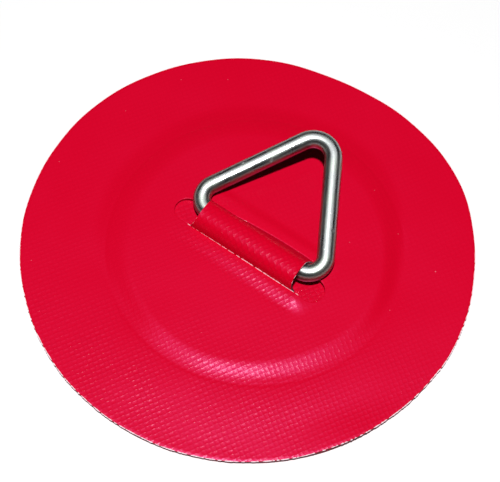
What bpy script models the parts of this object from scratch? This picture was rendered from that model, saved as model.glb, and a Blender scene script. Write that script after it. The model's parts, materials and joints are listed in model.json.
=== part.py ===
"""Pad eye for an inflatable boat: a bonded lay-up of coated-fabric discs, with a triangular wire
ring held in a fabric loop that comes up through a slot in the cover.

Metres, +Z up. The origin is the centre of the underside. X runs along the ring's straight bar
and +Y points to the side that the ring lies over on at rest.
"""

import math

import bpy
import bmesh
from mathutils import Vector

# Fabric plies, bottom to top: base, reinforcing, loop tails, cover.
DISC_DIAMETER = 0.125
REINFORCING_DIAMETER = 0.075
PLY = 0.0006
BOND_GAP = 0.00025

# The reinforcing disc is bonded a little off the patch's centre. The slot, the loop and the ring
# share a centre of their own.
REINFORCING_CENTRE = Vector((0.0019, 0.0009, 0))
LOOP_CENTRE = Vector((0.0012, 0.0009, 0))

# Triangular ring, measured on the wire's centreline.
WIRE_DIAMETER = 0.005
RING_SIDE = 0.0458
RING_CORNER_RADIUS = 0.00495

# Loop round the bar: room under the bar, round it, and at its bends, then the small outward bend
# at the loop's foot and how far its centre lies past the slot's edge.
BAR_LIFT = 0.0007
LOOP_CLEARANCE = 0.00045
BEND_CLEARANCE = 0.00015
FOOT_RADIUS = 0.00085
FOOT_TUCK = 0.00012

# Tails: how far they stop inside the reinforcing disc, where they start to widen past the slot,
# and how much each side widens per unit of length.
TAIL_MARGIN = 0.004
TAIL_NECK = 0.0015
TAIL_FLARE = 1.5

# Slot in the cover, and how the cover comes down outside the reinforcing disc.
SLOT_SIDE_ROOM = 0.00185
SLOT_END_ROOM = 0.0028
SLOPE_RUN = 0.0068
REST_GAP = 0.0002

# Smoothness of round stretches.
ROUND_POINTS = 80
SLOPE_STEPS = 6
WRAP_STEPS = 14
FOOT_STEPS = 4
TAIL_STEPS = 7
CORNER_STEPS = 10
WIRE_RESOLUTION = 3

# Heights of the stack.
BASE_TOP = PLY
REINFORCING_BOTTOM = BASE_TOP + BOND_GAP
REINFORCING_TOP = REINFORCING_BOTTOM + PLY
TAIL_BOTTOM = REINFORCING_TOP + BOND_GAP
TAIL_TOP = TAIL_BOTTOM + PLY
COVER_CORE_BOTTOM = TAIL_TOP + BOND_GAP
COVER_CORE_TOP = COVER_CORE_BOTTOM + PLY
COVER_RIM_BOTTOM = BASE_TOP + BOND_GAP

# Ring and loop, worked out from the sizes above.
WIRE_RADIUS = WIRE_DIAMETER / 2
BAR_HEIGHT = REINFORCING_TOP + BAR_LIFT + WIRE_RADIUS
LOOP_RADIUS = WIRE_RADIUS + LOOP_CLEARANCE + PLY / 2
BAR_HALF_STRAIGHT = RING_SIDE / 2 - RING_CORNER_RADIUS / math.tan(math.radians(30))
RING_HALF_WIDTH = BAR_HALF_STRAIGHT + RING_CORNER_RADIUS + WIRE_RADIUS
SLOT_HALF_WIDTH = LOOP_RADIUS + PLY / 2 + SLOT_SIDE_ROOM
SLOT_HALF_LENGTH = RING_HALF_WIDTH + SLOT_END_ROOM
REINFORCING_RADIUS = REINFORCING_DIAMETER / 2
TAIL_RADIUS = REINFORCING_RADIUS - TAIL_MARGIN - (LOOP_CENTRE - REINFORCING_CENTRE).length


def strap_half_width():
    """Half the loop's width: past the bar's straight length as far as the bends leave room."""
    inner_bend = RING_CORNER_RADIUS - WIRE_RADIUS
    room = LOOP_CLEARANCE - BEND_CLEARANCE
    past_straight = math.sqrt(inner_bend**2 - (inner_bend - room) ** 2)
    return BAR_HALF_STRAIGHT + past_straight


def rest_tilt():
    """Angle above level at which the ring's legs come down on the slot's far lip."""
    drop = BAR_HEIGHT - COVER_CORE_TOP - REST_GAP
    reach = math.hypot(SLOT_HALF_WIDTH, drop)
    return math.asin(WIRE_RADIUS / reach) - math.atan2(drop, SLOT_HALF_WIDTH)


def clear_scene():
    for thing in list(bpy.data.objects):
        bpy.data.objects.remove(thing)


def make_material(name, colour, roughness, metallic):
    material = bpy.data.materials.new(name)
    material.use_nodes = True
    shader = material.node_tree.nodes["Principled BSDF"]
    shader.inputs["Base Color"].default_value = (*colour, 1)
    shader.inputs["Roughness"].default_value = roughness
    shader.inputs["Metallic"].default_value = metallic
    return material


def add_object(name, data, material):
    thing = bpy.data.objects.new(name, data)
    bpy.context.scene.collection.objects.link(thing)
    data.materials.append(material)
    return thing


def finish_mesh(name, shape, material, location=(0, 0, 0)):
    bmesh.ops.recalc_face_normals(shape, faces=shape.faces)
    mesh = bpy.data.meshes.new(name)
    shape.to_mesh(mesh)
    shape.free()
    mesh.shade_smooth()
    mesh.set_sharp_from_angle(angle=math.radians(35))
    thing = add_object(name, mesh, material)
    thing.location = location
    return thing


def flat_disc(name, radius, bottom, material, location):
    """A ply cut as a plain circle."""
    shape = bmesh.new()
    bmesh.ops.create_circle(shape, cap_ends=True, radius=radius, segments=ROUND_POINTS)
    grown = bmesh.ops.extrude_face_region(shape, geom=shape.faces[:])
    risen = [v for v in grown["geom"] if isinstance(v, bmesh.types.BMVert)]
    bmesh.ops.translate(shape, verts=risen, vec=(0, 0, PLY))
    return finish_mesh(name, shape, material, Vector(location) + Vector((0, 0, bottom)))


def slot_reach(angle):
    """Distance from the slot's centre to its edge, in that direction. The slot's ends are round."""
    along = SLOT_HALF_LENGTH - SLOT_HALF_WIDTH
    across, run = abs(math.sin(angle)), abs(math.cos(angle))
    if across * along >= run * SLOT_HALF_WIDTH:
        return SLOT_HALF_WIDTH / across
    return along * run + math.sqrt(SLOT_HALF_WIDTH**2 - (along * across) ** 2)


def smooth_step(share):
    return share * share * (3 - 2 * share)


def cover_rings():
    """Closed rows of points on the cover's underside, from the slot's edge out to the rim."""
    slope_start = REINFORCING_RADIUS - SLOPE_RUN / 2 + BOND_GAP
    level = Vector((0, 0, COVER_CORE_BOTTOM))
    turns = [2 * math.pi * i / ROUND_POINTS for i in range(ROUND_POINTS)]
    slot, middle = [], []
    for turn in turns:
        way = Vector((math.cos(turn), math.sin(turn), 0))
        edge = LOOP_CENTRE + way * slot_reach(turn) + level
        slot.append(edge)
        middle.append((edge + REINFORCING_CENTRE + way * slope_start + level) / 2)
    rows = [slot, middle]
    for step in range(SLOPE_STEPS + 1):
        share = step / SLOPE_STEPS
        radius = slope_start + SLOPE_RUN * share
        height = COVER_CORE_BOTTOM + (COVER_RIM_BOTTOM - COVER_CORE_BOTTOM) * smooth_step(share)
        rows.append([
            REINFORCING_CENTRE + Vector((radius * math.cos(turn), radius * math.sin(turn), height))
            for turn in turns
        ])
    rim = DISC_DIAMETER / 2
    rows.append([
        Vector((rim * math.cos(turn), rim * math.sin(turn), COVER_RIM_BOTTOM)) for turn in turns
    ])
    return rows


def fill_ply(shape, lower_rows):
    """Skins both sides of a ply from the closed rows of its underside, and closes its two edges."""
    lower = [[shape.verts.new(point) for point in row] for row in lower_rows]
    upper = [
        [shape.verts.new(point + Vector((0, 0, PLY))) for point in row] for row in lower_rows
    ]
    pairs = list(zip(lower, lower[1:])) + list(zip(upper, upper[1:]))
    pairs += [(lower[0], upper[0]), (lower[-1], upper[-1])]
    for inner, outer in pairs:
        for i in range(ROUND_POINTS):
            j = (i + 1) % ROUND_POINTS
            shape.faces.new((inner[i], inner[j], outer[j], outer[i]))


def build_cover(material):
    shape = bmesh.new()
    fill_ply(shape, cover_rings())
    return finish_mesh("cover_disc", shape, material)


def loop_path():
    """The strap's centreline from bar top to the +Y tail's end, as (y, z) points with normals."""
    tail_height = TAIL_BOTTOM + PLY / 2
    foot_y = SLOT_HALF_WIDTH + FOOT_TUCK
    foot_z = tail_height + FOOT_RADIUS
    gap = Vector((foot_y, foot_z - BAR_HEIGHT))
    lean = math.atan2(gap.y, gap.x)
    leave = lean + math.acos((LOOP_RADIUS + FOOT_RADIUS) / gap.length)
    points = []
    for step in range(WRAP_STEPS // 2 + 1):
        angle = math.pi / 2 + (leave - math.pi / 2) * step / (WRAP_STEPS // 2)
        way = Vector((math.cos(angle), math.sin(angle)))
        points.append((Vector((0, BAR_HEIGHT)) + way * LOOP_RADIUS, way))
    for step in range(FOOT_STEPS + 1):
        angle = leave + (math.pi / 2 - leave) * step / FOOT_STEPS
        way = Vector((math.cos(angle), math.sin(angle)))
        points.append((Vector((foot_y, foot_z)) - way * FOOT_RADIUS, way))
    tail_end = TAIL_RADIUS - PLY
    for step in range(1, TAIL_STEPS + 1):
        reach = foot_y + (tail_end - foot_y) * math.sin(math.pi / 2 * step / TAIL_STEPS)
        points.append((Vector((reach, tail_height)), Vector((0, 1))))
    return points


def strap_half_width_at(reach):
    """Half the strap's width at that distance from the bar: a neck, a flare, then a round end."""
    neck = SLOT_HALF_WIDTH + TAIL_NECK
    flared = strap_half_width() + max(0, reach - neck) * TAIL_FLARE
    if reach < neck:
        return flared
    return min(flared, math.sqrt(TAIL_RADIUS**2 - reach**2))


def build_loop(material):
    """The strap, folded over the bar. Its tails fan out and end on the arc of a circle."""
    half = loop_path()
    whole = [(Vector((-p.x, p.y)), Vector((-n.x, n.y))) for p, n in reversed(half[1:])] + half
    shape = bmesh.new()
    sections = []
    for centre, normal in whole:
        width = strap_half_width_at(abs(centre.x))
        inner = centre - normal * PLY / 2
        outer = centre + normal * PLY / 2
        corners = ((-width, inner), (width, inner), (width, outer), (-width, outer))
        sections.append([shape.verts.new((x, p.x, p.y)) for x, p in corners])
    for here, there in zip(sections, sections[1:]):
        for i in range(4):
            j = (i + 1) % 4
            shape.faces.new((here[i], here[j], there[j], there[i]))
    shape.faces.new(sections[0])
    shape.faces.new(sections[-1])
    return finish_mesh("loop_strap", shape, material, LOOP_CENTRE)


def ring_outline():
    """Centreline of the ring in its own plane, bar on the X axis, apex towards +Y."""
    height = RING_SIDE * math.sqrt(3) / 2
    corners = [Vector((-RING_SIDE / 2, 0)), Vector((RING_SIDE / 2, 0)), Vector((0, height))]
    middle = sum(corners, Vector((0, 0))) / 3
    inward = RING_CORNER_RADIUS / math.sin(math.radians(30))
    points = []
    for corner, start in zip(corners, (150, 270, 30)):
        centre = corner + (middle - corner).normalized() * inward
        for step in range(CORNER_STEPS + 1):
            angle = math.radians(start + 120 * step / CORNER_STEPS)
            way = Vector((math.cos(angle), math.sin(angle)))
            points.append(centre + way * RING_CORNER_RADIUS)
    return points


def build_ring(material):
    """The wire triangle, with its origin on the bar's axis and tilted to where it rests."""
    curve = bpy.data.curves.new("triangle_ring", "CURVE")
    curve.dimensions = "3D"
    curve.bevel_depth = WIRE_RADIUS
    curve.bevel_resolution = WIRE_RESOLUTION
    spline = curve.splines.new("POLY")
    points = ring_outline()
    spline.points.add(len(points) - 1)
    for slot, point in zip(spline.points, points):
        slot.co = (point.x, point.y, 0, 1)
    spline.use_cyclic_u = True
    ring = add_object("triangle_ring", curve, material)
    ring.location = LOOP_CENTRE + Vector((0, 0, BAR_HEIGHT))
    ring.rotation_euler = (rest_tilt(), 0, 0)
    return ring


def build():
    clear_scene()
    fabric = (0.69, 0.002, 0.023)
    flat_disc(
        "base_disc",
        DISC_DIAMETER / 2,
        0,
        make_material("base_fabric", fabric, 0.5, 0),
        (0, 0, 0),
    )
    flat_disc(
        "reinforcing_disc",
        REINFORCING_RADIUS,
        REINFORCING_BOTTOM,
        make_material("reinforcing_fabric", fabric, 0.5, 0),
        REINFORCING_CENTRE,
    )
    build_loop(make_material("loop_fabric", fabric, 0.4, 0))
    build_cover(make_material("cover_fabric", fabric, 0.4, 0))
    build_ring(make_material("stainless_wire", (0.62, 0.61, 0.59), 0.16, 1))


build()
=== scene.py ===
"""Looks of a glue-on pad eye: two discs and a loop of coated cloth round a triangular wire ring.

Metres, +Z up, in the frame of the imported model. The patch lies flat on z = 0, X runs along the
ring's straight bar, and the ring lies over towards +Y.
"""

import json
import math
import random

import bpy
import numpy as np
from bpy.props import FloatProperty, FloatVectorProperty, IntProperty, PointerProperty
from mathutils import Matrix, Vector


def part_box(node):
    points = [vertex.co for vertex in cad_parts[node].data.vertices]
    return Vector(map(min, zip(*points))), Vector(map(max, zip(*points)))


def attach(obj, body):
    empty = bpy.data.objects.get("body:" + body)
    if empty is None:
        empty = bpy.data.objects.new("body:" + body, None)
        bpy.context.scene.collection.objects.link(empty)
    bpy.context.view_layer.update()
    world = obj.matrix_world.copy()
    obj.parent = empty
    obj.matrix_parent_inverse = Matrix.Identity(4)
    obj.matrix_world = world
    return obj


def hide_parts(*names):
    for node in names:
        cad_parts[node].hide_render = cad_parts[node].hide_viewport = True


bl_info = {
    "name": "Pad Eye with Triangular Ring",
    "version": (1, 0, 0),
    "blender": (4, 5, 0),
    "location": "View3D > Sidebar > Pad Eye",
    "description": "Builds the cloth, the ring and the stage of a glue-on pad eye",
    "category": "Object",
}

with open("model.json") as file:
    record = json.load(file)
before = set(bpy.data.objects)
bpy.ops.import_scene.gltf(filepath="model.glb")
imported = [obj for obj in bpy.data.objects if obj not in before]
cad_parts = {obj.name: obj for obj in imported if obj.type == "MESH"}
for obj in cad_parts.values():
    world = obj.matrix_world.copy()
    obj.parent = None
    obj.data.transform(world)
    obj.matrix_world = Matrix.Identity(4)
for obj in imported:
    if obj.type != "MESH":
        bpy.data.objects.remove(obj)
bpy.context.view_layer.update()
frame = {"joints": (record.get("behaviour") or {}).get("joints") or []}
MM = 0.001

# Fixed places, read from the frame.
HINGE = Vector(frame["joints"][0]["pos_m"])
BASE_LOW, BASE_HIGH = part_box("base_disc")
INNER_LOW, INNER_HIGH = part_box("reinforcing_disc")
COVER_LOW, COVER_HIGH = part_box("cover_disc")
CORE = (INNER_LOW + INNER_HIGH) / 2
DISC_RADIUS = (BASE_HIGH.x - BASE_LOW.x) / 2
INNER_RADIUS = (INNER_HIGH.x - INNER_LOW.x) / 2
RIM_TOP = COVER_LOW.z + (BASE_HIGH.z - BASE_LOW.z)

# How the rim wanders from a circle: rise in mm, direction and spread in degrees.
RIM_BUMPS = ((0.95, 56, 17), (-1.2, 98, 17), (0.62, 163, 32), (-0.22, 242, 26), (-0.26, 345, 17))
# The mesh rows of a plain disc, as shares of its radius, close together at the edge.
DISC_ROWS = (0.02, 0.25, 0.5, 0.75, 0.9, 0.97, 0.998, 1.0)


# ---------------------------------------------------------------------------------------------
# Sizes and colours that a user would change
# ---------------------------------------------------------------------------------------------


class PadEyeClothSettings(bpy.types.PropertyGroup):
    """The coated cloth that every ply is cut from."""

    colour: FloatVectorProperty(
        name="Cloth colour", description="Colour of the coating", subtype="COLOR", size=3,
        min=0, max=1, default=(0.66, 0.0, 0.0165),
    )
    # Painted shade: the coating's colour between the yarns is darkened to this, standing in for the
    # shade in the weave's hollows.
    painted_shade: FloatVectorProperty(
        name="Shaded colour", description="Colour of the coating between the yarns",
        subtype="COLOR", size=3, min=0, max=1, default=(0.60, 0.0, 0.0145),
    )
    # Painted shade: the cut faces are coloured near black, darker than the cut core, to stand in
    # for the shade they lie in.
    shaded_cut_colour: FloatVectorProperty(
        name="Cut edge colour", description="Colour of the cloth's core where it is cut",
        subtype="COLOR", size=3, min=0, max=1, default=(0.07, 0.003, 0.014),
    )
    yarn_colour: FloatVectorProperty(
        name="Yarn colour", description="Colour of the bare yarn ends along the cuts",
        subtype="COLOR", size=3, min=0, max=1, default=(1.0, 0.38, 0.50),
    )
    gloss_tint: FloatVectorProperty(
        name="Gloss tint", description="Tint of the light that the coating reflects",
        subtype="COLOR", size=3, min=0, max=1, default=(0.76, 0.11, 0.56),
    )
    roughness: FloatProperty(
        name="Roughness", description="How widely the coating spreads a reflection",
        subtype="FACTOR", min=0, max=1, default=0.40,
    )
    glaze: FloatProperty(
        name="Glaze", description="Weight of the thin clear skin that gives white glints",
        subtype="FACTOR", min=0, max=1, default=0.22,
    )
    pitch: FloatProperty(
        name="Yarn pitch", description="Distance from one yarn to the next",
        subtype="DISTANCE", min=0.0002, max=0.005, default=0.00131,
    )
    warp_angle: FloatProperty(
        name="Warp angle", description="Direction across the warp yarns, from the ring's bar",
        subtype="ANGLE", default=math.radians(-30.5),
    )
    weft_angle: FloatProperty(
        name="Weft angle", description="Direction across the weft yarns, from the ring's bar",
        subtype="ANGLE", default=math.radians(53.8),
    )
    relief: FloatProperty(
        name="Weave relief", description="How far the yarns stand up under the coating",
        subtype="DISTANCE", min=0, max=0.0003, default=0.000045,
    )
    pressed: FloatProperty(
        name="Pressed relief", description="Share of the relief left where the cloth is smooth",
        subtype="FACTOR", min=0, max=1, default=0.35,
    )
    front_angle: FloatProperty(
        name="Front", description="Direction in which the weave shows most, from the bar",
        subtype="ANGLE", default=math.radians(-64),
    )


class PadEyeCoverSettings(bpy.types.PropertyGroup):
    """The cover disc, its slot and the ridge over the inner disc."""

    thickness: FloatProperty(
        name="Ply thickness", description="Thickness of one ply", subtype="DISTANCE",
        min=0.0002, max=0.002, default=0.00064,
    )
    ridge_start: FloatProperty(
        name="Ridge start", description="Radius at which the cover starts to come down",
        subtype="DISTANCE", default=0.0346,
    )
    ridge_end: FloatProperty(
        name="Ridge end", description="Radius at which the cover meets the base",
        subtype="DISTANCE", default=0.0406,
    )
    slot_half_length: FloatProperty(
        name="Slot half length", description="From the slot's middle to its end",
        subtype="DISTANCE", default=0.0245,
    )
    slot_half_width: FloatProperty(
        name="Slot half width", description="Half the width of the slot's round ends",
        subtype="DISTANCE", default=0.00365,
    )
    slot_near: FloatProperty(
        name="Slot near edge", description="From the bar's axis to the slot's straight edge",
        subtype="DISTANCE", default=0.0059,
    )
    slot_far: FloatProperty(
        name="Slot far edge", description="How far the loop pushes the other edge out",
        subtype="DISTANCE", default=0.00502,
    )
    lip_rise: FloatProperty(
        name="Lip rise", description="How far the tails lift the cover beside the slot",
        subtype="DISTANCE", default=0.00055,
    )
    columns: IntProperty(
        name="Columns", description="Mesh steps round the disc", min=64, max=1024, default=448,
    )


class PadEyeLoopSettings(bpy.types.PropertyGroup):
    """The strap folded over the ring's bar."""

    crest_half_width: FloatProperty(
        name="Crest half width", description="Half the strap's width over the bar",
        subtype="DISTANCE", default=0.0160,
    )
    foot_half_width: FloatProperty(
        name="Foot half width", description="Half the strap's width where it enters the slot",
        subtype="DISTANCE", default=0.0173,
    )
    near_reach: FloatProperty(
        name="Near reach", description="How far the strap bulges on its near side",
        subtype="DISTANCE", default=0.00555,
    )
    far_reach: FloatProperty(
        name="Far reach", description="How far out the strap enters the slot on its far side",
        subtype="DISTANCE", default=0.00482,
    )
    grip: FloatProperty(
        name="Room over the bar", description="Gap between the strap and the top of the bar",
        subtype="DISTANCE", default=0.00007,
    )
    tail_radius: FloatProperty(
        name="Tail radius", description="Radius of the round ends of the hidden tails",
        subtype="DISTANCE", default=0.0326,
    )


class PadEyeRingSettings(bpy.types.PropertyGroup):
    """The triangular ring of round wire."""

    wire: FloatProperty(
        name="Wire diameter", description="Diameter of the ring's wire", subtype="DISTANCE",
        default=0.005,
    )
    side: FloatProperty(
        name="Side", description="Side of the triangle on the wire's centreline, corners sharp",
        subtype="DISTANCE", default=0.0463,
    )
    corner: FloatProperty(
        name="Corner radius", description="Radius of the two bends at the bar, on the centreline",
        subtype="DISTANCE", default=0.0046,
    )
    apex: FloatProperty(
        name="Apex radius", description="Radius of the bend at the apex, on the centreline",
        subtype="DISTANCE", default=0.0058,
    )
    tilt: FloatProperty(
        name="Tilt", description="Angle of the ring above level at rest", subtype="ANGLE",
        default=math.radians(12.9),
    )
    colour: FloatVectorProperty(
        name="Steel colour", description="Colour of the steel's reflection", subtype="COLOR",
        size=3, min=0, max=1, default=(0.365, 0.385, 0.388),
    )
    roughness: FloatProperty(
        name="Steel roughness", description="How far the steel is from a mirror",
        subtype="FACTOR", min=0, max=1, default=0.30,
    )


class PadEyeStageSettings(bpy.types.PropertyGroup):
    """Floor, lights and camera."""

    floor_colour: FloatVectorProperty(
        name="Floor colour", description="Colour of the plain floor", subtype="COLOR", size=3,
        min=0, max=1, default=(0.97, 0.97, 0.97),
    )
    key_power: FloatProperty(
        name="Key power", description="Power of the overhead light", subtype="POWER",
        default=10.8,
    )
    key_size: FloatProperty(
        name="Key size", description="Diameter of the overhead light", subtype="DISTANCE",
        default=0.06,
    )
    panel_power: FloatProperty(
        name="Panel power", description="Power of the wide panel that the steel mirrors",
        subtype="POWER", default=5.9,
    )
    panel_width: FloatProperty(
        name="Panel width", description="Width of the panel from side to side",
        subtype="DISTANCE", default=1.7,
    )
    panel_depth: FloatProperty(
        name="Panel depth", description="Depth of the panel from front to back",
        subtype="DISTANCE", default=1.0,
    )
    fill: FloatProperty(
        name="Fill", description="Strength of the light from all round", subtype="FACTOR",
        min=0, max=1, default=0.010,
    )


# ---------------------------------------------------------------------------------------------
# Shader helpers
# ---------------------------------------------------------------------------------------------


class Shader:
    """A material under construction: its node tree and its Principled shader."""

    def __init__(self, name):
        self.material = bpy.data.materials.new(name)
        self.material.use_nodes = True
        self.tree = self.material.node_tree
        self.surface = self.tree.nodes["Principled BSDF"]

    def add(self, kind, links=(), **values):
        """Adds a node, sets its attributes, and links or fills its inputs by name or number."""
        node = self.tree.nodes.new(kind)
        for name, value in values.items():
            setattr(node, name, value)
        for name, source in dict(links).items():
            self.feed(node.inputs[name], source)
        return node

    def feed(self, socket, source):
        """Links an output to the socket, or sets the socket's own value."""
        if isinstance(source, bpy.types.NodeSocket):
            self.tree.links.new(source, socket)
        else:
            socket.default_value = source

    def math(self, operation, first, second=0.0, third=0.0):
        node = self.add("ShaderNodeMath", {0: first, 1: second, 2: third}, operation=operation)
        return node.outputs[0]

    def ramp(self, value, low, high, to_low, to_high, kind="SMOOTHSTEP"):
        links = {"Value": value, 1: low, 2: high, 3: to_low, 4: to_high}
        return self.add("ShaderNodeMapRange", links, interpolation_type=kind).outputs[0]

    def noise(self, vector, scale, detail=2.0):
        links = {"Vector": vector, "Scale": scale, "Detail": detail}
        return self.add("ShaderNodeTexNoise", links).outputs[0]

    def mix(self, factor, first, second):
        node = self.add("ShaderNodeMix", data_type="RGBA")
        for index, source in ((0, factor), (6, first), (7, second)):
            self.feed(node.inputs[index], source)
        return node.outputs[2]

    def bump(self, height, distance, normal=None):
        links = {"Height": height, "Distance": distance, "Strength": 1.0}
        if normal is not None:
            links["Normal"] = normal
        return self.add("ShaderNodeBump", links).outputs[0]

    def finish(self, **sockets):
        """Sets or links the shader's own sockets, named with _ for a blank."""
        for name, source in sockets.items():
            self.feed(self.surface.inputs[name.replace("_", " ")], source)
        return self.material


def rgba(colour):
    """A colour with full opacity."""
    return (*colour, 1.0)


def weave_height(shader, flat, cloth):
    """Plain weave on the cloth's flat coordinates: each yarn arches over every second crossing,
    and some crossings stand up more than others."""
    waves, yarns = [], []
    for angle in (cloth.warp_angle, cloth.weft_angle):
        per_yarn = math.pi / cloth.pitch
        across = (math.cos(angle) * per_yarn, math.sin(angle) * per_yarn, 0)
        turn = shader.add(
            "ShaderNodeVectorMath", {0: flat, 1: across}, operation="DOT_PRODUCT"
        ).outputs["Value"]
        waves.append(shader.math("SINE", turn))
        yarns.append(shader.math("FLOOR", shader.math("DIVIDE", turn, math.pi)))
    over = shader.math("MULTIPLY", waves[0], waves[1])
    warp_on_top = shader.ramp(over, -0.3, 0.3, 0.0, 1.0)
    rounds = [shader.math("ABSOLUTE", wave) for wave in waves]
    arches = [shader.math("MULTIPLY_ADD", each, 0.45, 0.55) for each in rounds]
    warp = shader.math("MULTIPLY", rounds[0], arches[1])
    weft = shader.math("MULTIPLY", rounds[1], shader.math("MULTIPLY", arches[0], 0.75))
    gap = shader.math("SUBTRACT", warp, weft)
    height = shader.math("MULTIPLY_ADD", gap, warp_on_top, weft)
    crossing = shader.add("ShaderNodeCombineXYZ", {0: yarns[0], 1: yarns[1]}).outputs[0]
    chance = shader.add("ShaderNodeTexWhiteNoise", {"Vector": crossing}).outputs["Value"]
    return shader.math("MULTIPLY", height, shader.math("MULTIPLY_ADD", chance, 0.5, 0.65))


def cloth_material(name, cloth, whole_disc=False, gloss=1.0):
    """Glossy red coating over a plain weave, with uneven relief, fine peel, faint dust, and painted
    shade between the yarns.
    """
    shader = Shader(name)
    flat = shader.add("ShaderNodeUVMap", uv_map="flat").outputs["UV"]
    weave = weave_height(shader, flat, cloth)
    patches = shader.noise(flat, 70.0, 3.0)
    strength = shader.ramp(patches, 0.35, 0.65, 0.65, 1.05)
    if whole_disc:
        # The weave's relief, and the painted shade between its yarns, show most at the front and
        # where the cloth stretches over the tails by the slot.
        front = (math.cos(cloth.front_angle), math.sin(cloth.front_angle), 0)
        reach = shader.add(
            "ShaderNodeVectorMath", {0: flat, 1: front}, operation="DOT_PRODUCT"
        ).outputs["Value"]
        fresh = shader.ramp(reach, 0.012, 0.045, cloth.pressed, 0.85)
        split = shader.add("ShaderNodeSeparateXYZ", {0: flat})
        off_lip = shader.math("ABSOLUTE", shader.math("ADD", split.outputs["Y"], 0.0083))
        stretched = shader.ramp(off_lip, 0.0012, 0.0042, 0.6, 0.0)
        beside = shader.math("ABSOLUTE", split.outputs["X"])
        stretched = shader.math("MULTIPLY", stretched, shader.ramp(beside, 0.016, 0.024, 1.0, 0.0))
        fresh = shader.math("ADD", fresh, stretched)
        strength = shader.math("MULTIPLY", strength, fresh)

    uneven = shader.math("MULTIPLY", weave, strength)
    peel = shader.noise(flat, 1900.0, 2.0)
    relief = shader.math("MULTIPLY_ADD", peel, 0.30, uneven)
    normal = shader.bump(relief, cloth.relief)
    grain = shader.noise(flat, 3600.0, 1.0)
    glaze_normal = shader.bump(grain, 0.000035, shader.bump(relief, cloth.relief * 1.6))

    # Painted shade: the colour is darkened between the yarns, as far as the weave's strength
    # reaches.
    painted_shade_mask = shader.ramp(weave, 0.08, 0.6, 1.0, 0.0)
    painted_shade_mask = shader.math("MULTIPLY", painted_shade_mask, strength)
    colour = shader.mix(painted_shade_mask, rgba(cloth.colour), rgba(cloth.painted_shade))
    cloudy = shader.noise(flat, 28.0, 3.0)
    dust = shader.noise(flat, 1100.0, 0.0)
    speck = shader.ramp(dust, 0.905, 0.93, 0.0, 0.35)
    colour = shader.mix(speck, colour, rgba(cloth.yarn_colour))
    roughness = shader.ramp(
        cloudy, 0.3, 0.7, cloth.roughness - 0.03, cloth.roughness + 0.04, "LINEAR"
    )
    return shader.finish(
        Base_Color=colour, Roughness=roughness, Normal=normal,
        Specular_IOR_Level=0.56 * gloss, Specular_Tint=rgba(cloth.gloss_tint), IOR=1.5,
        Coat_Weight=cloth.glaze * gloss, Coat_Roughness=0.22, Coat_IOR=1.4,
        Coat_Normal=glaze_normal,
    )


def cut_edge_material(name, cloth):
    """The cloth's cut face: the duller core darkened to near black as painted shade, with pale
    fibre along it.
    """
    shader = Shader(name)
    place = shader.add("ShaderNodeTexCoord").outputs["Object"]
    fibre = shader.noise(place, 2600.0, 3.0)
    amount = shader.ramp(fibre, 0.5, 0.75, 0.0, 0.12)
    # Painted shade: the near-black cut colour darkens every cut face.
    colour = shader.mix(amount, rgba(cloth.shaded_cut_colour), rgba(cloth.yarn_colour))
    normal = shader.bump(fibre, 0.00004)
    return shader.finish(Base_Color=colour, Roughness=0.7, Normal=normal)


def yarn_material(name, colour):
    """Bare polyester yarn, pale where it was cut."""
    shader = Shader(name)
    place = shader.add("ShaderNodeTexCoord").outputs["Object"]
    strands = shader.noise(place, 4200.0, 2.0)
    pale = shader.ramp(strands, 0.3, 0.65, 0.0, 1.0)
    tint = shader.mix(pale, rgba((1.0, 0.7, 0.78)), rgba(colour))
    return shader.finish(Base_Color=tint, Roughness=0.6, Normal=shader.bump(strands, 0.00003))


def steel_material(name, ring):
    """Polished stainless wire: drawing lines along it, small nicks, and an uneven polish."""
    shader = Shader(name)
    along = shader.add("ShaderNodeUVMap", uv_map="flat").outputs["UV"]
    stretch = shader.add(
        "ShaderNodeMapping", {"Vector": along, "Scale": (60.0, 5200.0, 1.0)}
    ).outputs[0]
    lines = shader.noise(stretch, 1.0, 3.0)
    place = shader.add("ShaderNodeTexCoord").outputs["Object"]
    grain = shader.noise(place, 2200.0, 3.0)
    worn = shader.noise(place, 160.0, 3.0)
    nicks = shader.ramp(shader.noise(place, 480.0, 1.0), 0.70, 0.76, 0.0, 1.0)
    height = shader.math("MULTIPLY_ADD", grain, 0.6, lines)
    height = shader.math("MULTIPLY_ADD", nicks, -2.5, height)
    roughness = shader.ramp(
        worn, 0.35, 0.65, ring.roughness - 0.05, ring.roughness + 0.07, "LINEAR"
    )
    roughness = shader.math("MULTIPLY_ADD", nicks, 0.2, roughness)
    tint = shader.mix(
        shader.ramp(worn, 0.4, 0.62, 0.0, 1.0), rgba(ring.colour), rgba((0.335, 0.37, 0.34))
    )
    return shader.finish(
        Base_Color=tint, Metallic=1.0, Roughness=roughness,
        Normal=shader.bump(height, 0.000026),
    )


# ---------------------------------------------------------------------------------------------
# Mesh helpers
# ---------------------------------------------------------------------------------------------


def smooth(low, high, value):
    """0 below low, 1 above high, and a smooth rise between."""
    share = np.clip((value - low) / (high - low), 0, 1)
    return share * share * (3 - 2 * share)


def hump(value, centre, spread):
    """A bell curve, 1 at its centre."""
    return np.exp(-(((value - centre) / spread) ** 2))


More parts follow.
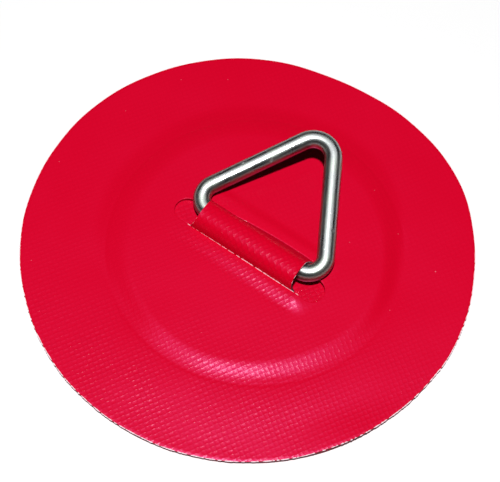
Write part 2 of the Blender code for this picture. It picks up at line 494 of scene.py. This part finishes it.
def add_piece(name, points, faces, materials, flat=None, face_material=None):
    """A mesh object from points and faces, smooth shaded, with its flat coordinates as UVs."""
    mesh = bpy.data.meshes.new(name)
    mesh.from_pydata([tuple(p) for p in points], [], faces)
    for material in materials:
        mesh.materials.append(material)
    if flat is not None:
        corners = np.zeros(len(mesh.loops), np.int32)
        mesh.loops.foreach_get("vertex_index", corners)
        layer = mesh.uv_layers.new(name="flat")
        layer.data.foreach_set("uv", np.asarray(flat, np.float32)[corners].ravel())
    if face_material is not None:
        mesh.polygons.foreach_set("material_index", np.asarray(face_material, np.int32))
    mesh.shade_smooth()
    mesh.set_sharp_from_angle(angle=math.radians(50))
    mesh.validate()
    piece = bpy.data.objects.new(name, mesh)
    bpy.context.scene.collection.objects.link(piece)
    return piece


def bridge(rows, closed=True):
    """Quads between rows of the same length, given as arrays of point numbers."""
    faces = []
    for here, there in zip(rows, rows[1:]):
        last = len(here) if closed else len(here) - 1
        for i in range(last):
            j = (i + 1) % len(here)
            faces.append((int(here[i]), int(here[j]), int(there[j]), int(there[i])))
    return faces


def sheet_body(name, top, under, flat, materials, cut_rows):
    """A closed ply from rows of its top and of its underside. The cut_rows of the loop that
    they make are its cut faces, one material each."""
    rows = [*top, *reversed(under)]
    flats = [*flat, *reversed(flat)]
    count = len(rows[0])
    points = np.concatenate(rows)
    numbers = np.arange(len(points)).reshape(len(rows), count)
    loop = [*numbers, numbers[0]]
    faces = bridge(loop)
    bands = np.zeros(len(rows), int)
    for kind, band in enumerate(cut_rows, 1):
        bands[band] = kind
    return add_piece(
        name, points, faces, materials, np.concatenate(flats), np.repeat(bands, count)
    )


def yarn_ends(name, edges, cloth, material, seed, thick=0.00016):
    """Short pale dashes where the yarns come out of a cut edge. Each edge is its points, the
    same points on the flat cloth, the way out of the cloth, and the share of yarns that show."""
    draw = random.Random(seed)
    points, faces = [], []
    for path, flat, way_out, share in edges:
        steps = np.linalg.norm(np.diff(path, axis=0), axis=1)
        run = np.concatenate([[0], np.cumsum(steps)])
        for angle in (cloth.warp_angle, cloth.weft_angle):
            across = np.array((math.cos(angle), math.sin(angle)))
            count = flat @ across / cloth.pitch
            slope = np.abs(np.diff(count)) / np.maximum(steps, 1e-9)
            for i in np.nonzero(np.floor(count[:-1]) != np.floor(count[1:]))[0]:
                if draw.random() > share[i]:
                    continue
                length = min(0.8 / max(slope[i], 1e-9), 0.0036) * draw.uniform(0.5, 1.15)
                middle = (run[i] + run[i + 1]) / 2 + draw.uniform(-0.15, 0.15) * cloth.pitch
                width = thick * draw.uniform(0.6, 1.15)
                add_dash(points, faces, path, run, way_out, middle, length, width)
    return add_piece(name, points, faces, [material])


def add_dash(points, faces, path, run, way_out, middle, length, thick):
    """One dash: a short tapered tube that lies along the edge."""
    places = np.linspace(middle - length / 2, middle + length / 2, 5)
    places = np.clip(places, run[0], run[-1])
    line = np.column_stack([np.interp(places, run, path[:, k]) for k in range(3)])
    out = np.column_stack([np.interp(places, run, way_out[:, k]) for k in range(3)])
    up = np.array((0.0, 0.0, 1.0))
    start = len(points)
    widths = thick / 2 * np.array((0.35, 0.9, 1.0, 0.9, 0.35))
    for centre, side, half in zip(line, out, widths):
        for turn in range(6):
            angle = 2 * math.pi * turn / 6
            points.append(centre + half * (math.cos(angle) * side + math.sin(angle) * up))
    rows = [np.arange(start + 6 * k, start + 6 * k + 6) for k in range(5)]
    faces.extend(bridge(rows))
    faces.append(tuple(int(n) for n in reversed(rows[0])))
    faces.append(tuple(int(n) for n in rows[-1]))


# ---------------------------------------------------------------------------------------------
# Shapes
# ---------------------------------------------------------------------------------------------


def cut_radius(turn, radius, sway):
    """The hand-cut outline: a circle with a flat on its far side and gentle shoulders."""
    away = np.degrees(turn) % 360
    wander = sum(rise * hump(away, centre, spread) for rise, centre, spread in RIM_BUMPS)
    ripple = 0.05 * np.sin(9 * turn + sway) + 0.035 * np.sin(23 * turn + 2 * sway)
    return radius + (wander + ripple) * MM


def cover_top(x, y, cover):
    """Height of the cover's upper face."""
    r = np.hypot(x - CORE.x, y - CORE.y)
    turn = np.arctan2(y - CORE.y, x - CORE.x)

    # The ridge: steep at the front, and a long easy slope at the back left.
    wander = 0.25 * np.sin(3 * turn + 0.6) + 0.18 * np.sin(5 * turn + 2.0)
    slack = 6.0 * smooth(-0.35, 0.6, np.cos(turn - 2.4))
    fall = smooth(cover.ridge_start, cover.ridge_end + slack * MM, r - wander * MM)
    crown = COVER_HIGH.z - 0.12 * MM
    height = crown + (RIM_TOP - crown) * fall
    height -= 0.05 * MM * hump(r, cover.ridge_end + 0.6 * MM, 0.5 * MM)

    # Outside the ridge the front slopes gently down to the rim, which curls up at the right.
    skirt = (1 - smooth(43 * MM, 64 * MM, r)) * fall * smooth(0.1, 0.95, np.cos(turn + 1.05))
    curl = smooth(51 * MM, 62 * MM, r) * hump(turn, -0.55, 0.22)
    height += (0.8 * skirt + 0.65 * curl) * MM

    # Faint waves in the cloth, which fade out before the rim.
    wave = np.sin(x / (3.1 * MM) + 0.7) * np.sin(y / (3.7 * MM) + 2.1)
    wave += 0.8 * np.sin((x + y) / (5.2 * MM)) * np.sin((x - 0.6 * y) / (4.3 * MM) + 1.0)
    height += 0.022 * MM * wave * (1 - smooth(55 * MM, 61 * MM, r))

    # The tails lift the cover beside the slot, most at the right end of its near edge.
    along = x - HINGE.x
    side = y - HINGE.y
    lifted = 1 - smooth(18.0 * MM, 24.0 * MM, np.abs(along))
    right = np.clip(along / (18 * MM), -1, 1)
    near = smooth(-cover.slot_near - 5.5 * MM, -cover.slot_near - 1.1 * MM, side)
    far = 1 - smooth(cover.slot_far + 2.0 * MM, cover.slot_far + 5.0 * MM, side)
    height += cover.lip_rise * (0.8 + 0.7 * right) * lifted * near * (side < 0)
    height += 0.6 * cover.lip_rise * lifted * far * (side >= 0)
    return height


def far_bow(along, cover):
    """How far from the bar's axis the loop pushes the slot's far edge."""
    ease = np.clip(along / MM, -21, 21) - 9.5
    side = cover.slot_far - 0.0033 * MM * ease**2
    return np.maximum(side, 0.002)


def slot_edge(nu, cover):
    """The slot's outline: round ends, a straight near edge, and a far edge that the loop pushes
    out into a bow."""
    reach = cover.slot_half_length
    end = cover.slot_half_width
    along = reach * np.cos(nu)
    past = np.maximum(np.abs(along) - (reach - end), 0)
    round_off = np.sqrt(np.maximum(1 - (past / end) ** 2, 0))
    middle = -(cover.slot_near - end)
    open_up = (far_bow(along, cover) - middle - end) * (1 - smooth(16 * MM, 22 * MM, np.abs(along)))
    skew = 0.12 * MM * np.clip(along / (15 * MM), -1, 1)
    side = np.where(np.sin(nu) >= 0, end * round_off + open_up, -(end + skew) * round_off)
    return HINGE.x + along, HINGE.y + middle + side


def cover_plan(cover):
    """Rows of (x, y) from the slot's edge to the rim, closer together where the cover bends."""
    nu = 2 * np.pi * (np.arange(cover.columns) + 0.5) / cover.columns
    slot = np.column_stack(slot_edge(nu, cover))
    way = np.column_stack([np.cos(nu), np.sin(nu)])
    core = np.array((CORE.x, CORE.y))
    inner = core + way * (cover.ridge_start - 1.0 * MM)
    outer = core + way * (cover.ridge_end + 2.0 * MM)
    rim = way * cut_radius(nu, DISC_RADIUS, 0.0)[:, None]
    rows = []
    for here, there, steps in ((slot, inner, 44), (inner, outer, 24), (outer, rim, 20)):
        rows += [here + (there - here) * k / steps for k in range(steps)]
    round_in = [slot + (inner - slot) * k for k in (0.002, 0.006)]
    round_out = [rim + (outer - rim) * k for k in (0.006, 0.002)]
    return [rows[0], *round_in, *rows[1:], *round_out, rim]


def build_cover(settings):
    """The cover as one closed ply with rounded cuts, and its plan rows."""
    cloth, cover = settings.cloth, settings.cover
    plan = cover_plan(cover)
    drops = np.zeros(len(plan))
    drops[[0, -1]] = 0.10 * MM
    drops[[1, -2]] = 0.03 * MM
    top, under = [], []
    for row, drop in zip(plan, drops):
        height = cover_top(row[:, 0], row[:, 1], cover)
        top.append(np.column_stack([row, height - drop]))
        under.append(np.column_stack([row, height - cover.thickness]))
    rows = len(plan)
    piece = sheet_body(
        "cover_cloth", top, under, plan,
        [
            cloth_material("cover_coating", cloth, True), cut_edge_material("rim_cut", cloth),
            cloth_material("slot_cut", cloth),
        ],
        (rows - 1, 2 * rows - 1),
    )
    return piece, plan


def edge_path(row, height):
    """A closed edge as its points, its flat points, and the way out of the cloth."""
    flat = np.vstack([row, row[:1]])
    ahead = np.roll(row, -1, axis=0) - np.roll(row, 1, axis=0)
    out = np.column_stack([ahead[:, 1], -ahead[:, 0], np.zeros(len(ahead))])
    out /= np.linalg.norm(out, axis=1)[:, None]
    path = np.column_stack([flat, np.append(height, height[:1])])
    return path, flat, np.vstack([out, out[:1]])


def cover_edges(plan, cover):
    """The slot's edge and the rim, each with the share of yarns that show along it."""
    edges = []
    for row, drop in ((plan[0], 0.02), (plan[-1], 0.05)):
        height = cover_top(row[:, 0], row[:, 1], cover) - drop * MM
        edges.append(edge_path(row, height))
    slot, rim = edges
    round_end = np.abs(slot[0][:, 0] - HINGE.x) > 18.6 * MM
    near = slot[0][:, 1] < HINGE.y
    slot_share = np.where(round_end, 0.01, np.where(near, 1.0, 0.06))
    return (*slot, slot_share), (*rim, np.full(len(rim[0]), 0.85))


def strap_profile(settings):
    """The strap's centreline in (y, z) from the near tail's end over the bar to the far one."""
    loop, thickness = settings.loop, settings.cover.thickness
    # The centreline's radius round the bar, and the height and the bend of the hidden tails.
    round_bar = settings.ring.wire / 2 + loop.grip + thickness / 2
    crest = HINGE.z + round_bar
    tail = (INNER_HIGH.z + COVER_HIGH.z - thickness) / 2 + 0.1 * MM
    bend = 0.75 * MM
    base = tail + bend

    # Near side: a full bulge from the crest down into the slot, then the bend into the tail.
    near = []
    for k in range(25):
        angle = math.pi / 2 * k / 24
        y = loop.near_reach * math.sin(angle) ** (2 / 2.7)
        near.append((-y, base + (crest - base) * math.cos(angle) ** (2 / 2.7)))
    for k in range(1, 9):
        angle = math.pi / 2 * k / 8
        y = loop.near_reach + bend * (1 - math.cos(angle))
        near.append((-y, base - bend * math.sin(angle)))

    # Far side: round the bar, straight down to the slot, then the bend into the tail.
    entry = (loop.far_reach, COVER_HIGH.z - HINGE.z)
    steep = math.atan2(*entry) - math.acos(round_bar / math.hypot(*entry))
    far = []
    for k in range(13):
        angle = steep * k / 12
        far.append((round_bar * math.sin(angle), HINGE.z + round_bar * math.cos(angle)))
    turn_off = bend * math.tan(steep / 2)
    corner = entry[0] + (COVER_HIGH.z - tail) / math.tan(steep)
    last = (corner - turn_off * math.cos(steep), tail + turn_off * math.sin(steep))
    first = far[-1]
    for k in range(1, 13):
        far.append(tuple(a + (b - a) * k / 12 for a, b in zip(first, last)))
    for k in range(1, 9):
        angle = steep * (1 - k / 8)
        y = corner + turn_off - bend * math.sin(angle)
        far.append((y, tail + bend * (1 - math.cos(angle))))

    for half, sign in ((near, -1), (far, 1)):
        start = half[-1][0]
        half += [(start + (sign * loop.tail_radius - start) * k / 10, tail) for k in range(1, 11)]
    return np.array([*reversed(near), *far[1:]])


def strap_half_width(path, loop):
    """Half the strap's width at each point of its centreline. It widens towards the slot, and
    the tails flare out under the cover to round ends."""
    reach = np.abs(path[:, 0])
    height = path[:, 1]
    crest = height.max()
    share = np.clip((crest - height) / (crest - COVER_HIGH.z), 0, 1)
    width = loop.crest_half_width + (loop.foot_half_width - loop.crest_half_width) * share**2.2
    flare = np.maximum(reach - 6.5 * MM, 0) * 1.5
    cap = np.sqrt(np.maximum(loop.tail_radius**2 - reach**2, (4 * MM) ** 2))
    return np.where(reach > 6.5 * MM, np.minimum(width + flare, cap), width)


def strap_flat(settings):
    """Length of the flat strap from tail to tail, and the area of one of its faces."""
    path = strap_profile(settings)
    steps = np.linalg.norm(np.diff(path, axis=0), axis=1)
    widths = strap_half_width(path, settings.loop)
    return float(steps.sum()), float((steps * (widths[1:] + widths[:-1])).sum())


def strap_skins(settings, path):
    """Rows of points along the strap, from its left edge to its right one: its outer face, its
    inner face, and the same points on the flat strap."""
    ring, cover = settings.ring, settings.cover
    step = np.gradient(path, axis=0)
    step /= np.linalg.norm(step, axis=1)[:, None]
    normal = np.column_stack([-step[:, 1], step[:, 0]])
    run = np.concatenate([[0], np.cumsum(np.linalg.norm(np.diff(path, axis=0), axis=1))])
    run -= run[len(run) // 2]
    widths = strap_half_width(path, settings.loop)
    straight = ring.side / 2 - ring.corner / math.tan(math.radians(30))
    near_bar = np.clip((path[:, 1] - COVER_HIGH.z) / (2 * MM), 0, 1)
    start = HINGE.z + 1.7 * MM
    down = np.clip((start - path[:, 1]) / (start - COVER_HIGH.z), 0, 1) * (path[:, 0] > 0)

    outer, inner, flat = [], [], []
    for share in np.linspace(-1, 1, 57):
        x = widths * share
        # The strap's edges follow the wire into its bends, and the slot's far edge pulls it in.
        past = np.minimum(np.maximum(np.abs(x) - straight, 0), ring.corner)
        spread = (ring.corner - np.sqrt(ring.corner**2 - past**2)) * near_bar
        tight = np.minimum(cover.slot_far - far_bow(x, cover), 1.4 * MM) * down
        for rows, offset in ((outer, cover.thickness / 2), (inner, -cover.thickness / 2)):
            y = path[:, 0] + normal[:, 0] * (offset + spread) - tight
            z = path[:, 1] + normal[:, 1] * (offset + spread)
            rows.append(np.column_stack([HINGE.x + x, HINGE.y + y, z]))
        flat.append(np.column_stack([x, run]))
    return outer, inner, flat


def build_loop(settings):
    """The strap as one closed ply, and its two long edges where they show."""
    cloth = settings.cloth
    path = strap_profile(settings)
    outer, inner, flat = strap_skins(settings, path)
    rows = [*outer, *reversed(inner)]
    points = np.concatenate(rows)
    count = len(path)
    numbers = np.arange(len(points)).reshape(len(rows), count)
    faces = bridge([*numbers, numbers[0]], closed=False)
    bands = np.zeros(len(rows), int)
    bands[[len(outer) - 1, len(rows) - 1]] = 1
    kinds = list(np.repeat(bands, count - 1))
    for end in (0, count - 1):
        for k in range(len(outer) - 1):
            quad = (k, k + 1, len(rows) - 2 - k, len(rows) - 1 - k)
            face = tuple(int(numbers[n][end]) for n in quad)
            faces.append(face if end == 0 else face[::-1])
            kinds.append(1)
    piece = add_piece(
        "loop_cloth", points, faces,
        [cloth_material("loop_coating", cloth, gloss=0.42), cut_edge_material("loop_cut", cloth)],
        np.concatenate([*flat, *reversed(flat)]), kinds,
    )

    edges = []
    shown = path[:, 1] > COVER_HIGH.z - 0.6 * MM
    for side, row in ((-1.0, 0), (1.0, -1)):
        out = np.tile((side, 0.0, 0.0), (shown.sum(), 1))
        middle = outer[row][shown] * 0.75 + inner[row][shown] * 0.25
        edges.append((middle + out * 0.02 * MM, flat[row][shown], out, np.full(len(out), 0.6)))
    return piece, edges


def disc_ply(name, low, high, radius, centre, sway, materials, dish=None):
    """A plain round ply with slightly rounded edges. Its outline wanders where it has a sway,
    and its upper face is flat or follows a function dish of x and y."""
    turn = 2 * np.pi * np.arange(320) / 320
    way = np.column_stack([np.cos(turn), np.sin(turn)])
    edge = cut_radius(turn, radius, sway)[:, None] if sway is not None else radius
    plan = [np.array(centre) + way * edge * share for share in DISC_ROWS]
    top, under = [], []
    for row, share in zip(plan, DISC_ROWS):
        lift = dish(row[:, 0], row[:, 1]) if dish is not None else np.full(len(row), high)
        drop = 0.08 * MM if share == 1.0 else 0
        top.append(np.column_stack([row, lift - drop]))
        under.append(np.column_stack([row, np.full(len(row), low + drop)]))
    rows = [*under, *reversed(top)]
    points = np.concatenate(rows)
    numbers = np.arange(len(points)).reshape(len(rows), len(turn))
    faces = bridge(list(numbers))
    faces.append(tuple(int(n) for n in reversed(numbers[0])))
    faces.append(tuple(int(n) for n in numbers[-1]))
    bands = np.zeros(len(rows) - 1, int)
    bands[len(DISC_ROWS) - 1] = len(materials) - 1
    kinds = list(np.repeat(bands, len(turn))) + [0, 0]
    flats = np.concatenate([*plan, *reversed(plan)])
    return add_piece(name, points, faces, materials, flats, kinds)


def ring_line(ring):
    """Centreline of the ring in its own plane, bar on the X axis, apex towards +Y."""
    height = ring.side * math.sqrt(3) / 2
    corners = [Vector((-ring.side / 2, 0)), Vector((ring.side / 2, 0)), Vector((0, height))]
    middle = sum(corners, Vector((0, 0))) / 3
    bends = []
    radii = (ring.corner, ring.corner, ring.apex)
    for corner, start, radius in zip(corners, (150, 270, 30), radii):
        centre = corner + (middle - corner).normalized() * radius / math.sin(math.radians(30))
        arc = []
        for k in range(21):
            angle = math.radians(start + 120 * k / 20)
            arc.append(centre + Vector((math.cos(angle), math.sin(angle))) * radius)
        bends.append(arc)
    line = []
    for arc, following in zip(bends, [*bends[1:], bends[0]]):
        line += arc
        line += [arc[-1].lerp(following[0], k / 24) for k in range(1, 24)]
    return np.array([tuple(p) for p in line])


def build_ring(ring):
    """The wire bent to the ring's line, leaning over at rest."""
    wire = ring.wire / 2
    line = ring_line(ring)
    ahead = np.roll(line, -1, axis=0) - np.roll(line, 1, axis=0)
    ahead /= np.linalg.norm(ahead, axis=1)[:, None]
    side = np.column_stack([ahead[:, 1], -ahead[:, 0]])
    steps = np.linalg.norm(np.roll(line, -1, axis=0) - line, axis=1)
    run = np.concatenate([[0], np.cumsum(steps)[:-1]])
    around = 40
    rows, flats = [], []
    for k in range(around):
        angle = 2 * math.pi * k / around
        flatwise = line + side * (wire * math.cos(angle))
        rows.append(np.column_stack([flatwise, np.full(len(line), wire * math.sin(angle))]))
        flats.append(np.column_stack([run, np.full(len(line), wire * angle)]))
    points = np.concatenate(rows)
    turn = Matrix.Translation(HINGE) @ Matrix.Rotation(ring.tilt, 4, "X")
    points = points @ np.array(turn.to_3x3()).T + np.array(turn.translation)
    numbers = np.arange(len(points)).reshape(around, len(line))
    faces = bridge([*numbers, numbers[0]])
    return add_piece(
        "ring_wire", points, faces, [steel_material("stainless", ring)], np.concatenate(flats)
    )


# ---------------------------------------------------------------------------------------------
# Operators
# ---------------------------------------------------------------------------------------------


def place(piece, body, slot):
    """Fixes the piece to a body of the frame."""
    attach(piece, body)


class PADEYE_OT_base(bpy.types.Operator):
    """Adds the base disc, the ply that is bonded to the boat"""

    bl_idname = "padeye.base"
    bl_label = "Base Disc"

    def execute(self, context):
        cloth = context.scene.pad_eye.cloth
        materials = [cloth_material("base_coating", cloth), cut_edge_material("base_cut", cloth)]
        piece = disc_ply(
            "base_cloth", BASE_LOW.z, COVER_LOW.z - 0.05 * MM, DISC_RADIUS - 0.1 * MM,
            (0, 0), 1.4, materials,
        )
        place(piece, "patch", "base_fabric")
        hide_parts("base_disc")
        return {"FINISHED"}


def slot_floor(x, y):
    """Height of the reinforcing disc's upper face: it rises past the ends of the slot, and dips
    under the ring's right corner."""
    along = x - HINGE.x
    rise = smooth(22.0 * MM, 23.2 * MM, np.abs(along))
    dent = smooth(16.5 * MM, 18.5 * MM, along) - smooth(21.5 * MM, 22.5 * MM, along)
    near = 1 - smooth(7 * MM, 9 * MM, np.abs(y - HINGE.y))
    return INNER_HIGH.z + (0.85 * rise - 0.4 * dent) * near * MM


class PADEYE_OT_inner(bpy.types.Operator):
    """Adds the reinforcing disc, whose top shows at the ends of the slot"""

    bl_idname = "padeye.inner"
    bl_label = "Reinforcing Disc"

    def execute(self, context):
        coating = cloth_material("inner_coating", context.scene.pad_eye.cloth)
        piece = disc_ply(
            "inner_cloth", INNER_LOW.z + 0.05 * MM, INNER_HIGH.z, INNER_RADIUS,
            (CORE.x, CORE.y), None, [coating], slot_floor,
        )
        place(piece, "patch", "reinforcing_fabric")
        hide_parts("reinforcing_disc")
        return {"FINISHED"}


class PADEYE_OT_loop(bpy.types.Operator):
    """Adds the strap folded over the ring's bar, with its hidden tails"""

    bl_idname = "padeye.loop"
    bl_label = "Loop"

    def execute(self, context):
        settings = context.scene.pad_eye
        piece, edges = build_loop(settings)
        place(piece, "patch", "loop_fabric")
        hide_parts("loop_strap")
        length, area = strap_flat(settings)
        ends = yarn_ends(
            "loop_yarn_ends", edges, settings.cloth,
            yarn_material("loop_yarn", settings.cloth.yarn_colour), 5,
        )
        place(ends, "patch", "loop_fabric")
        return {"FINISHED"}


class PADEYE_OT_cover(bpy.types.Operator):
    """Adds the cover disc with its slot, its ridge and the yarn ends along its cuts"""

    bl_idname = "padeye.cover"
    bl_label = "Cover Disc"

    def execute(self, context):
        settings = context.scene.pad_eye
        cloth, cover = settings.cloth, settings.cover
        piece, plan = build_cover(settings)
        place(piece, "patch", "cover_fabric")
        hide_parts("cover_disc")
        slot, rim = cover_edges(plan, cover)
        for name, edge, colour, seed, thick in (
            ("slot_yarn", slot, cloth.yarn_colour, 3, 0.00024),
            ("rim_yarn", rim, (1.0, 0.80, 0.86), 8, 0.00030),
        ):
            yarn = yarn_material(name, colour)
            ends = yarn_ends(name + "_ends", [edge], cloth, yarn, seed, thick)
            place(ends, "patch", "cover_fabric")
        return {"FINISHED"}


class PADEYE_OT_ring(bpy.types.Operator):
    """Adds the triangular ring of stainless wire"""

    bl_idname = "padeye.ring"
    bl_label = "Triangular Ring"

    def execute(self, context):
        piece = build_ring(context.scene.pad_eye.ring)
        place(piece, "ring", "stainless_wire")
        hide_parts("triangle_ring")
        # The bright steel would otherwise light up its own shadow.
        piece.visible_diffuse = False
        return {"FINISHED"}


class PADEYE_OT_stage(bpy.types.Operator):
    """Adds the pale floor, the lights, the dim world and the camera"""

    bl_idname = "padeye.stage"
    bl_label = "Stage"

    def execute(self, context):
        stage = context.scene.pad_eye.stage
        add_floor(stage)
        add_lights(stage)
        add_world(stage)
        add_camera()
        context.scene.view_settings.view_transform = "Standard"
        return {"FINISHED"}


def add_floor(stage):
    """A plain square floor just under the patch."""
    half = 1.5
    points = [(-half, -half, 0), (half, -half, 0), (half, half, 0), (-half, half, 0)]
    shader = Shader("plain_floor")
    material = shader.finish(
        Base_Color=rgba(stage.floor_colour), Roughness=0.9, Specular_IOR_Level=0.1
    )
    floor = add_piece("floor", points, [(0, 1, 2, 3)], [material])
    floor.location.z = -0.00005


def add_light(name, way, distance, width, depth, power):
    """An area light over the patch, in the direction way. Its width runs from the viewer's left
    to right, at a slope of 0.64 to the ring's bar."""
    slope = 0.64
    way = Vector(way).normalized()
    light = bpy.data.lights.new(name, "AREA")
    light.shape = "ELLIPSE"
    light.size = width
    light.size_y = depth
    light.energy = power
    lamp = bpy.data.objects.new(name, light)
    across = Vector((way.z, slope * way.z, -way.x - slope * way.y)).normalized()
    axes = Matrix((across, way.cross(across), way)).transposed()
    lamp.matrix_world = Matrix.Translation(way * distance) @ axes.to_4x4()
    bpy.context.scene.collection.objects.link(lamp)
    return lamp


def add_lights(stage):
    """A small overhead light, and a wide soft panel that only the steel mirrors."""
    size = stage.key_size
    add_light("key", (0.077, -0.158, 1.0), 1.0, size, size, stage.key_power)
    panel = add_light(
        "panel", (-0.086, 0.20, 1.0), 1.0, stage.panel_width, stage.panel_depth,
        stage.panel_power,
    )
    mirrored = bpy.data.collections.new("mirrored")
    wire = bpy.data.objects.get("ring_wire")
    if wire is not None:
        mirrored.objects.link(wire)
    panel.light_linking.receiver_collection = mirrored


def add_world(stage):
    """A dim white world that is brighter along the horizon."""
    world = bpy.data.worlds.new("studio")
    world.use_nodes = True
    nodes, links = world.node_tree.nodes, world.node_tree.links
    place = nodes.new("ShaderNodeTexCoord")
    split = nodes.new("ShaderNodeSeparateXYZ")
    level = nodes.new("ShaderNodeMapRange")
    level.interpolation_type = "SMOOTHSTEP"
    for name, value in (("From Min", 0.0), ("From Max", 0.28), ("To Min", 0.3)):
        level.inputs[name].default_value = value
    level.inputs["To Max"].default_value = stage.fill
    links.new(place.outputs["Generated"], split.inputs[0])
    links.new(split.outputs["Z"], level.inputs["Value"])
    links.new(level.outputs[0], nodes["Background"].inputs["Strength"])
    nodes["Background"].inputs["Color"].default_value = (1.0, 1.0, 1.0, 1.0)
    bpy.context.scene.world = world


def add_camera():
    """A camera to the front right of the patch, well above it, that looks down at its middle."""
    elevation, heading = math.radians(62.115), math.radians(32.806)
    roll, distance = math.radians(3.168), 0.420
    back = Vector((
        math.sin(heading) * math.cos(elevation), -math.cos(heading) * math.cos(elevation),
        math.sin(elevation),
    ))
    right = Vector((math.cos(heading), math.sin(heading), 0))
    up = back.cross(right)
    turned_right = right * math.cos(roll) + up * math.sin(roll)
    turned_up = up * math.cos(roll) - right * math.sin(roll)
    data = bpy.data.cameras.new("camera")
    data.sensor_width = 36
    data.lens = 109.6
    data.shift_x = 0.0045
    data.shift_y = 0.0154
    data.clip_start = 0.01
    camera = bpy.data.objects.new("camera", data)
    axes = Matrix((turned_right, turned_up, back)).transposed()
    camera.matrix_world = Matrix.Translation(back * distance) @ axes.to_4x4()
    bpy.context.scene.collection.objects.link(camera)
    bpy.context.scene.camera = camera


# ---------------------------------------------------------------------------------------------
# Panel and registration
# ---------------------------------------------------------------------------------------------


class PadEyeSettings(bpy.types.PropertyGroup):
    """Everything that a user can set."""

    cloth: PointerProperty(type=PadEyeClothSettings)
    cover: PointerProperty(type=PadEyeCoverSettings)
    loop: PointerProperty(type=PadEyeLoopSettings)
    ring: PointerProperty(type=PadEyeRingSettings)
    stage: PointerProperty(type=PadEyeStageSettings)


OPERATORS = (
    PADEYE_OT_base,
    PADEYE_OT_inner,
    PADEYE_OT_loop,
    PADEYE_OT_cover,
    PADEYE_OT_ring,
    PADEYE_OT_stage,
)


class PADEYE_PT_panel(bpy.types.Panel):
    """Lists the operators in the 3D view's sidebar."""

    bl_label = "Pad Eye"
    bl_idname = "PADEYE_PT_panel"
    bl_space_type = "VIEW_3D"
    bl_region_type = "UI"
    bl_category = "Pad Eye"

    def draw(self, context):
        for operator in OPERATORS:
            self.layout.operator(operator.bl_idname)


CLASSES = (
    PadEyeClothSettings,
    PadEyeCoverSettings,
    PadEyeLoopSettings,
    PadEyeRingSettings,
    PadEyeStageSettings,
    PadEyeSettings,
    *OPERATORS,
    PADEYE_PT_panel,
)


def register():
    """Registers the classes and gives the scene its settings."""
    for each in CLASSES:
        bpy.utils.register_class(each)
    bpy.types.Scene.pad_eye = PointerProperty(type=PadEyeSettings)


def unregister():
    """Undoes register."""
    del bpy.types.Scene.pad_eye
    for each in reversed(CLASSES):
        bpy.utils.unregister_class(each)


def main():
    """Builds every piece and the stage."""
    register()
    bpy.ops.padeye.base()
    bpy.ops.padeye.inner()
    bpy.ops.padeye.loop()
    bpy.ops.padeye.cover()
    bpy.ops.padeye.ring()
    bpy.ops.padeye.stage()


if __name__ == "__main__":
    main()
